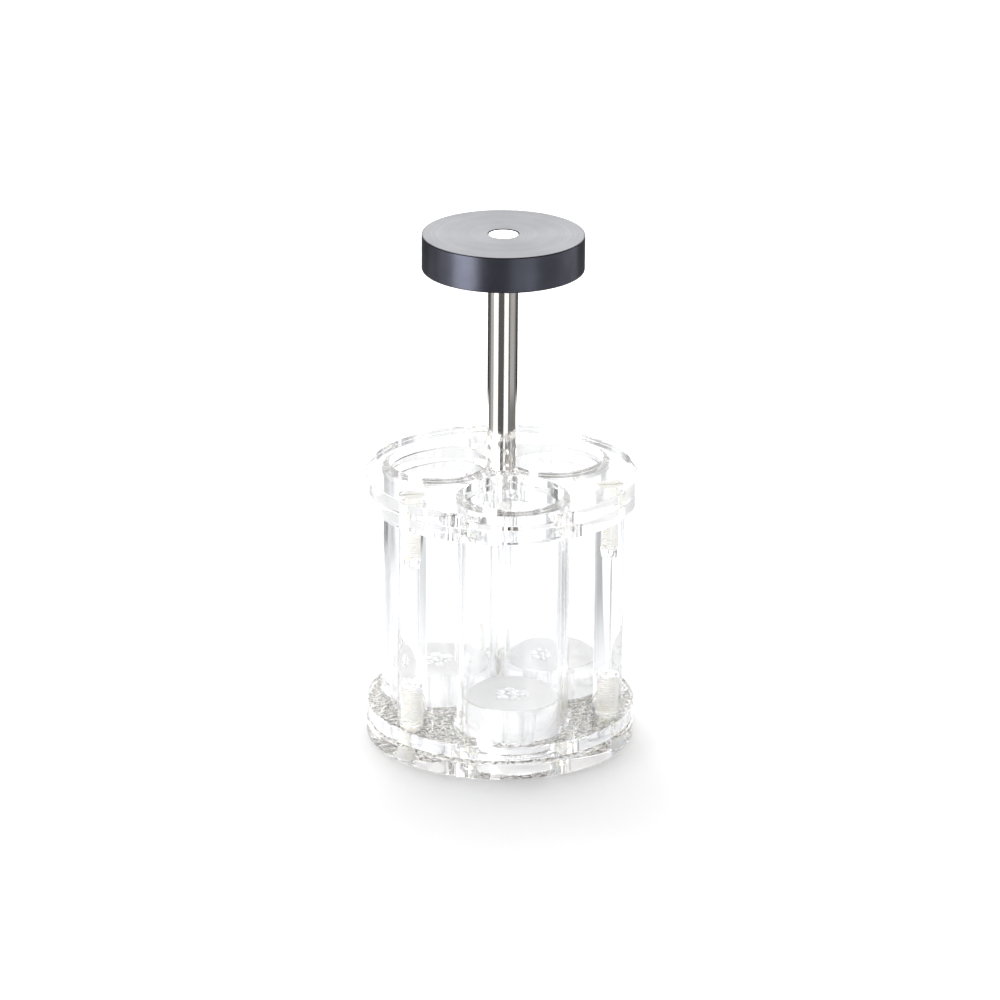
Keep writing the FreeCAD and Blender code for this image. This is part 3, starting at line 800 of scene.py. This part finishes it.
# The studio's walls as gloss and clear pieces show them: degrees from straight behind the rack, and how bright
SKY = (
    (-180, 0.11), (-149, 0.11), (-145, 1.0), (-110, 1.0), (-106, 0.8), (-98, 0.62), (-80, 0.5),
    (-75, 0.4), (-48, 0.36), (-40, 0.6), (-32, 0.85), (-20, 0.96), (0, 1.0), (20, 0.95), (32, 0.87),
    (42, 0.42), (56, 0.3), (62, 0.16), (76, 0.18), (84, 0.3), (115, 0.3), (122, 0.15), (132, 0.15),
    (137, 1.0), (167, 1.0), (172, 0.11), (180, 0.11),
)
# The world's strength for matt surfaces. The background has the full strength of 1
WORLD_LIGHT = 0.22

world = bpy.data.worlds.new("studio")
world.use_nodes = True
bpy.context.scene.world = world
tree = world.node_tree
tree.nodes.clear()
output = add(tree, "ShaderNodeOutputWorld")
shell = add(tree, "ShaderNodeBackground")
shell.inputs["Color"].default_value = (1, 1, 1, 1)
direction = add(tree, "ShaderNodeTexCoord").outputs["Generated"]
height = add(tree, "ShaderNodeSeparateXYZ")
tree.links.new(direction, height.inputs["Vector"])
level_part = add(tree, "ShaderNodeVectorMath", operation="MULTIPLY")
tree.links.new(direction, level_part.inputs[0])
level_part.inputs[1].default_value = (1, 1, 0)
heading = add(tree, "ShaderNodeVectorMath", operation="NORMALIZE")
tree.links.new(level_part.outputs["Vector"], heading.inputs[0])
sides = []
for axis in (right, forward):
    along = add(tree, "ShaderNodeVectorMath", operation="DOT_PRODUCT")
    tree.links.new(heading.outputs["Vector"], along.inputs[0])
    along.inputs[1].default_value = tuple(axis)
    sides.append(along.outputs["Value"])
turn = span(tree, maths(tree, "ARCTAN2", *sides), -math.pi, math.pi, 0, 1)
wall_light = ramp(tree, turn, [((degrees + 180) / 360, (light,) * 3) for degrees, light in SKY])
over_floor = span(tree, height.outputs["Z"], 0.1, 0.22, 0, 1)
under_ceiling = span(tree, height.outputs["Z"], 0.55, 0.8, 1, 0)
darker = maths(tree, "SUBTRACT", 1.0, wall_light)
darker = maths(tree, "MULTIPLY", maths(tree, "MULTIPLY", over_floor, under_ceiling), darker)
seen = maths(tree, "MULTIPLY", light_path(tree, "Glossy", "Transmission"), before_matt(tree))
shown = maths(tree, "MULTIPLY", background_share(tree), 1 - WORLD_LIGHT)
strength = maths(tree, "ADD", WORLD_LIGHT, shown)
strength = maths(tree, "SUBTRACT", strength, maths(tree, "MULTIPLY", seen, darker))
tree.links.new(strength, shell.inputs["Strength"])
tree.links.new(shell.outputs["Background"], output.inputs["Surface"])


def facing(angle, distance, height):
    """A place round the rack. The angle is from straight behind it as the camera sees it, right is positive."""
    direction = forward * math.cos(math.radians(angle)) + right * math.sin(math.radians(angle))
    return direction * distance + Vector((0, 0, height))


def lamp(name, place, aim, size, power, hidden_from):
    """A soft rectangular lamp, hidden from the camera and from other kinds of ray."""
    data = bpy.data.lights.new(name, "AREA")
    data.shape = "RECTANGLE"
    data.size, data.size_y = size
    data.energy = power
    obj = bpy.data.objects.new(name, data)
    obj.location = place
    obj.rotation_mode = "QUATERNION"
    obj.rotation_quaternion = (aim - place).to_track_quat("-Z", "Y")
    for kind in ("camera", *hidden_from):
        setattr(obj, f"visible_{kind}", False)
    bpy.context.scene.collection.objects.link(obj)


middle = Vector((0, 0, 0.08))
disc_top = Vector((0, 0, 0.176))
# The top lamp makes the soft shadow, the key the gloss of the black disc's rim, and the strip that of its top
lamp("top", facing(-10, 0.5, 1.65), middle, (0.85, 0.85), 19.5, ("glossy",))
lamp("key", facing(-124, 1.5, 0.5), middle, (0.9, 0.9), 22, ("diffuse",))
lamp("strip", facing(0, 0.32, 0.44), disc_top, (0.6, 0.4), 2.35, ("diffuse", "transmission"))

# The studio's darker parts at floor level, seen only in reflections and through clear pieces.
# Each row: from and to in degrees from straight behind, soft edge, the distances in metres between which it
# fades in, those between which it fades out, and how dark it is
THROUGH = (
    (-49, -39, 3, 0.185, 0.205, 0.26, 0.27, 0.85),
    (-78, -38, 5, 0.085, 0.175, 0.25, 0.27, 0.28),
    (34, 57, 4, 0.070, 0.160, 0.25, 0.27, 0.58),
    (57, 80, 8, 0.070, 0.160, 0.25, 0.27, 0.45),
    (-41, -26, 5, 0.150, 0.200, 0.25, 0.27, 0.80),
    (57, 150, 4, 0.250, 0.270, 0.50, 0.52, 0.82),
    (170, 213, 4, 0.240, 0.255, 0.50, 0.52, 0.89),
)
MIRRORED = (
    (-49, -39, 3, 0.185, 0.205, 0.26, 0.27, 0.85),
    (34, 57, 4, 0.070, 0.160, 0.25, 0.27, 0.58),
    (-57, 57, 3, 0.330, 0.350, 9.0, 9.1, 0.95),
    (-78, -57, 3, 0.250, 0.270, 0.50, 0.52, 0.85),
    (-108, -78, 4, 0.250, 0.270, 0.50, 0.52, 0.50),
    (57, 78, 4, 0.250, 0.270, 0.50, 0.52, 0.80),
    (78, 120, 4, 0.250, 0.270, 0.33, 0.37, 0.80),
    (78, 120, 4, 0.330, 0.370, 0.50, 0.52, 0.55),
    (120, 134, 4, 0.250, 0.270, 0.50, 0.52, 0.85),
    (169, 213, 4, 0.180, 0.230, 0.50, 0.52, 0.89),
    (148, 212, 8, 0.505, 0.530, 9.0, 9.1, 0.92),
    (95, 128, 10, 0.505, 0.530, 9.0, 9.1, 0.60),
    (-78, -40, 10, 0.505, 0.530, 9.0, 9.1, 0.60),
)


def eased(number, low, high):
    """0 up to low, 1 from high, smooth between."""
    share = min(1.0, max(0.0, (number - low) / (high - low)))
    return share * share * (3 - 2 * share)


def brightness(angle, distance, shades):
    """How bright the surroundings are in a direction and at a distance along the floor."""
    light = 1.0
    for start, end, soft, near, far, fading, gone, dark in shades:
        turn = (angle - (start + end) / 2 + 180) % 360 - 180
        half = (end - start) / 2
        share = 1 - eased(abs(turn), half - soft / 2, half + soft / 2)
        light *= 1 - dark * share * eased(distance, near, far) * (1 - eased(distance, fading, gone))
    return light


def floor_card(name, height, shades, colour, hidden_from):
    """A flat ring over the floor's darker parts, with a brightness at each corner. Its white parts are open."""
    distances = [0.06 + 0.005 * i for i in range(60)] + [0.36 + 0.01 * i for i in range(20)]
    distances += [0.6, 0.8, 1.2, 2.0, 4.0]
    turns = 360
    white = 0.995
    verts, lights, faces = [], [], []
    for distance in distances:
        for angle in range(turns):
            verts.append(tuple(facing(angle, distance, height)))
            lights.append(brightness(angle, distance, shades))
    for ring in range(len(distances) - 1):
        inner, outer = ring * turns, (ring + 1) * turns
        for i in range(turns):
            j = (i + 1) % turns
            corners = (inner + i, inner + j, outer + j, outer + i)
            if min(lights[corner] for corner in corners) < white:
                faces.append(corners)
    mesh = bpy.data.meshes.new(name)
    mesh.from_pydata(verts, [], faces)
    mesh.attributes.new("level", "FLOAT", "POINT").data.foreach_set("value", lights)
    obj = bpy.data.objects.new(name, mesh)
    bpy.context.scene.collection.objects.link(obj)
    material = bpy.data.materials.new(name)
    material.use_nodes = True
    tree = material.node_tree
    tree.nodes.clear()
    output = add(tree, "ShaderNodeOutputMaterial")
    glow = add(tree, "ShaderNodeEmission")
    glow.inputs["Color"].default_value = colour
    level = add(tree, "ShaderNodeAttribute", attribute_name="level")
    tree.links.new(level.outputs["Fac"], glow.inputs["Strength"])
    open_share = add(tree, "ShaderNodeMixShader")
    tree.links.new(before_matt(tree), open_share.inputs["Fac"])
    tree.links.new(add(tree, "ShaderNodeBsdfTransparent").outputs["BSDF"], open_share.inputs[1])
    tree.links.new(glow.outputs["Emission"], open_share.inputs[2])
    tree.links.new(open_share.outputs["Shader"], output.inputs["Surface"])
    obj.data.materials.append(material)
    for kind in ("camera", "diffuse", "shadow", hidden_from):
        setattr(obj, f"visible_{kind}", False)


floor_card("shade_through", 2.0 * MM, THROUGH, (0.965, 0.98, 1, 1), "glossy")
floor_card("shade_mirrored", 2.5 * MM, MIRRORED, (1, 0.985, 0.975, 1), "transmission")

scene = bpy.context.scene
scene.view_settings.view_transform = "Standard"
scene.cycles.max_bounces = 64
scene.cycles.transmission_bounces = 64
scene.cycles.glossy_bounces = 48
scene.cycles.diffuse_bounces = 4
scene.cycles.transparent_max_bounces = 16
# Filter Glossy would dim the matt pieces that are lit through clear ones
scene.cycles.blur_glossy = 0
